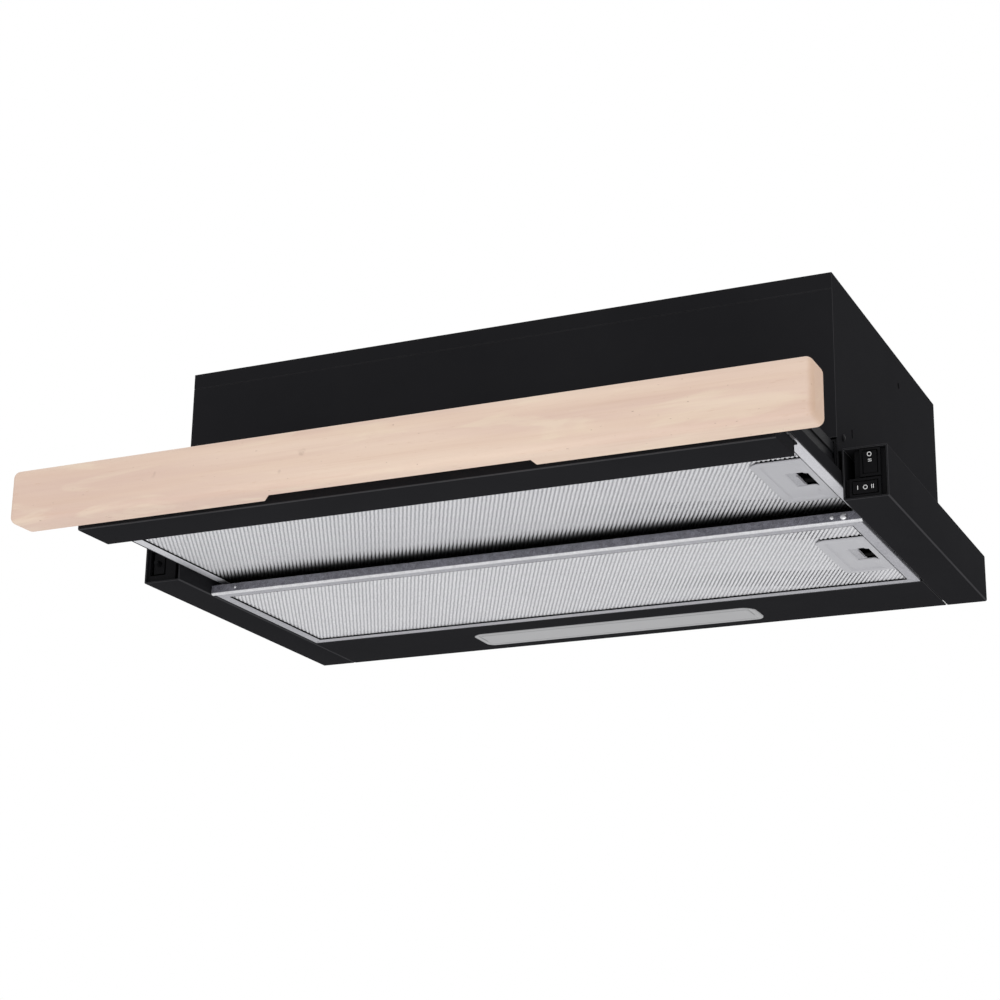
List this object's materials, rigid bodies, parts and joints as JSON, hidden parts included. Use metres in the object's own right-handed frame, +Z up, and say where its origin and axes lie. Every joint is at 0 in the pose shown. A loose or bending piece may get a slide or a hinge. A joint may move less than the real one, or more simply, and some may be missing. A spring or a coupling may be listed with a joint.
{
  "type": "telescopic under cabinet range hood",
  "caption": "Slim black built-in range hood with a slide-out filter visor behind a pale wooden front bar, rocker switches, lamp, aluminium grease filters and a top duct collar.",
  "frame": {"origin": "on the rear (wall) face at mid width, in the plane of the two side ledges that bear on the cabinet underside", "axes": "+X to the right seen from the front, +Y back to the wall, +Z up; the visor is pulled out towards -Y"},
  "size_m": [0.597, 0.463, 0.2037],
  "materials": {
    "black_paint": "satin black powder coat",
    "runner_steel": "black-coated drawer runner",
    "pale_beech": "sanded, unfinished pale beech",
    "filter_aluminium": "satin",
    "expanded_aluminium": "expanded mesh",
    "handle_grey": "matte",
    "bright_steel": "bright",
    "zinc_plate": "zinc-plated sheet",
    "motor_shell": "cast",
    "grey_plastic": "matte",
    "black_plastic": "fine matte",
    "white_plastic": "matte",
    "frosted_lens": "frosted",
    "lamp_board": "matte"
  },
  "bodies": {
    "hood": {"front_panel": "black_paint", "top_panel": "black_paint", "rear_panel": "black_paint", "left_side_panel": "black_paint", "right_side_panel": "black_paint", "left_rail": "black_paint", "right_rail": "black_paint", "rear_lamp_panel": "black_paint", "left_runner_outer": "runner_steel", "right_runner_outer": "runner_steel", "left_side_screw": "runner_steel", "right_side_screw": "runner_steel", "strip_rivet_left": "bright_steel", "strip_rivet_right_large": "bright_steel", "strip_rivet_right_small": "bright_steel", "cross_strip": "zinc_plate", "motor_bracket": "zinc_plate", "motor": "motor_shell", "scroll_housing": "grey_plastic", "outlet_collar": "black_plastic", "cable_gland": "black_plastic", "switch_frame": "black_plastic", "light_switch_body": "black_plastic", "speed_switch_body": "black_plastic", "microswitch_holder": "black_plastic", "microswitch_body": "black_plastic", "run_capacitor": "black_plastic", "lamp_housing": "white_plastic", "terminal_box": "white_plastic", "lamp_lens": "frosted_lens", "led_board": "lamp_board"},
    "visor": {"visor_channel": "black_paint", "visor_rear_bar": "black_paint", "left_arm": "black_paint", "right_arm": "black_paint", "left_runner_inner": "runner_steel", "right_runner_inner": "runner_steel", "wood_bar": "pale_beech", "visor_filter_frame": "filter_aluminium", "visor_filter_mesh": "expanded_aluminium", "visor_filter_handle": "handle_grey", "bar_screw_1": "bright_steel", "bar_screw_2": "bright_steel", "bar_screw_3": "bright_steel", "bar_screw_4": "bright_steel"},
    "visor_latch": {"visor_filter_latch": "bright_steel"},
    "fixed_filter": {"fixed_filter_frame": "filter_aluminium", "fixed_filter_mesh": "expanded_aluminium", "fixed_filter_handle": "handle_grey"},
    "fixed_latch": {"fixed_filter_latch": "bright_steel"},
    "light_rocker": {"light_switch_rocker": "black_plastic"},
    "speed_rocker": {"speed_switch_rocker": "black_plastic"},
    "visor_switch_plunger": {"microswitch_plunger": "black_plastic"},
    "fan": {"impeller": "grey_plastic", "motor_shaft": "bright_steel"},
    "front_flap": {"damper_flap_front": "black_plastic"},
    "rear_flap": {"damper_flap_rear": "black_plastic"}
  },
  "joints": [
    {"name": "visor_slide", "type": "slide", "parent": "hood", "child": "visor", "axis": [0, 1, 0], "range_m": [0, 0.145]},
    {"name": "visor_latch_slide", "type": "slide", "parent": "visor", "child": "visor_latch", "axis": [-1, 0, 0], "range_m": [0, 0.005], "stiffness_N_per_m": 300, "springref_m": -0.002},
    {"name": "fixed_filter_drop", "type": "hinge", "parent": "hood", "child": "fixed_filter", "pos_m": [-0.264, -0.15575, -0.0373], "axis": [0, 1, 0], "range_deg": [0, 60]},
    {"name": "fixed_latch_slide", "type": "slide", "parent": "fixed_filter", "child": "fixed_latch", "axis": [-1, 0, 0], "range_m": [0, 0.005], "stiffness_N_per_m": 300, "springref_m": -0.002},
    {"name": "light_rocker_tip", "type": "hinge", "parent": "hood", "child": "light_rocker", "pos_m": [0.2853, -0.285, -0.0116], "axis": [-1, 0, 0], "range_deg": [0, 14]},
    {"name": "speed_rocker_tip", "type": "hinge", "parent": "hood", "child": "speed_rocker", "pos_m": [0.2814, -0.285, -0.0293], "axis": [0, 0, 1], "range_deg": [-7, 7]},
    {"name": "visor_switch_press", "type": "slide", "parent": "hood", "child": "visor_switch_plunger", "axis": [0, 1, 0], "range_m": [0, 0.0025], "stiffness_N_per_m": 300, "springref_m": -0.001},
    {"name": "fan_spin", "type": "hinge", "parent": "hood", "child": "fan", "pos_m": [0, -0.165, 0.06398], "axis": [1, 0, 0], "continuous": true},
    {"name": "front_flap_lift", "type": "hinge", "parent": "hood", "child": "front_flap", "pos_m": [0, -0.12471, 0.141], "axis": [-1, 0, 0], "range_deg": [0, 75]},
    {"name": "rear_flap_lift", "type": "hinge", "parent": "hood", "child": "rear_flap", "pos_m": [0, -0.12031, 0.141], "axis": [1, 0, 0], "range_deg": [0, 75]}
  ]
}
